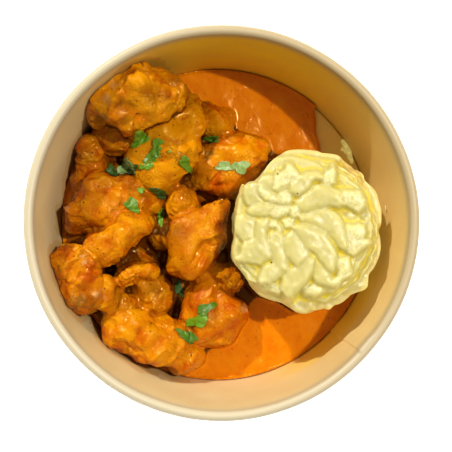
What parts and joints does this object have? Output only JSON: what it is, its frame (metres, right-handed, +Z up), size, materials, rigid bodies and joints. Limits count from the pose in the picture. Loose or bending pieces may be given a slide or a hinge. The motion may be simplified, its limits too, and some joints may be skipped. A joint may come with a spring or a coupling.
{
  "type": "chicken curry with mashed potato in a paper bowl",
  "caption": "Chicken curry in orange sauce beside a tall piped swirl of mashed potato, with coriander leaves, served in a round kraft paper bowl with a rolled rim.",
  "frame": {"origin": "centre of the bowl's foot, on the surface that the bowl stands on", "axes": "+Z up; +X from the bowl's middle towards the mashed potato; +Y to the back, away from the long front piece of chicken"},
  "size_m": [0.15, 0.15, 0.06],
  "materials": {
    "kraft_paper": "satin, smooth coated paper",
    "curry_sauce": "glossy, oily orange sauce",
    "sauced_chicken": "glossy sauce on uneven browned meat",
    "mashed_potato": "soft satin, slightly moist"
  },
  "bodies": {
    "root": {"bowl_wall": "kraft_paper", "bowl_base": "kraft_paper", "mashed_potato": "mashed_potato", "curry_sauce": "curry_sauce", "chicken_back_left": "sauced_chicken", "chicken_leafed": "sauced_chicken", "chicken_forked": "sauced_chicken", "chicken_long_left": "sauced_chicken", "chicken_pale_lobe": "sauced_chicken", "chicken_wall_left": "sauced_chicken", "chicken_flat_left": "sauced_chicken", "chicken_small_ridge": "sauced_chicken", "chicken_crown": "sauced_chicken", "chicken_centre_right": "sauced_chicken", "chicken_top_lobe": "sauced_chicken", "chicken_back_under": "sauced_chicken", "chicken_small_back": "sauced_chicken", "chicken_torn": "sauced_chicken", "chicken_front_right": "sauced_chicken", "chicken_front_left": "sauced_chicken", "chicken_saucy_left": "sauced_chicken", "chicken_dark_left": "sauced_chicken", "chicken_under_leaves": "sauced_chicken", "chicken_under_crown": "sauced_chicken", "chicken_dark_centre": "sauced_chicken"}
  },
  "joints": []
}
